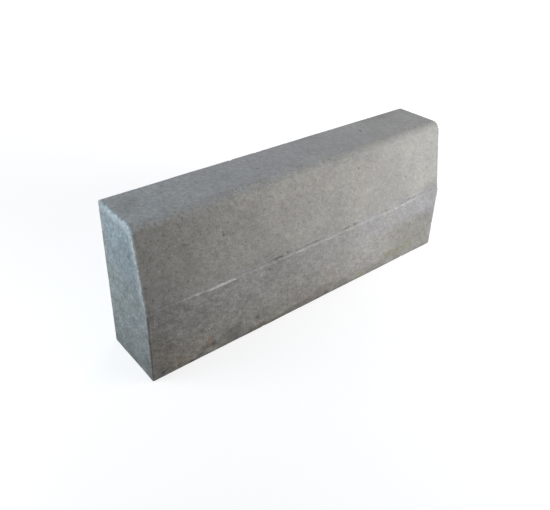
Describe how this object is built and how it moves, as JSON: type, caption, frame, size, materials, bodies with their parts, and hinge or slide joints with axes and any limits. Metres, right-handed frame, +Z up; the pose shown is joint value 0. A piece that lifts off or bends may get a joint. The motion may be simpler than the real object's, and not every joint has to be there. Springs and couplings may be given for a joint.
{
  "type": "kerb stone",
  "caption": "Straight concrete road kerb stone with a rounded nose, a battered face above the mould joint and a plain lower face below it.",
  "frame": {"origin": "middle of the base, on the surface that the stone stands on", "axes": "+X along the stone, -Y out of the road side with the rounded nose and the batter, +Y out of the upright back, +Z up"},
  "size_m": [0.75, 0.14, 0.3],
  "materials": {
    "concrete": "pressed dry-mix concrete, mid grey, fine sandy open texture, matt, with a pale line of cement paste along the mould joint"
  },
  "bodies": {
    "root": {"kerb_stone": "concrete"}
  },
  "joints": []
}
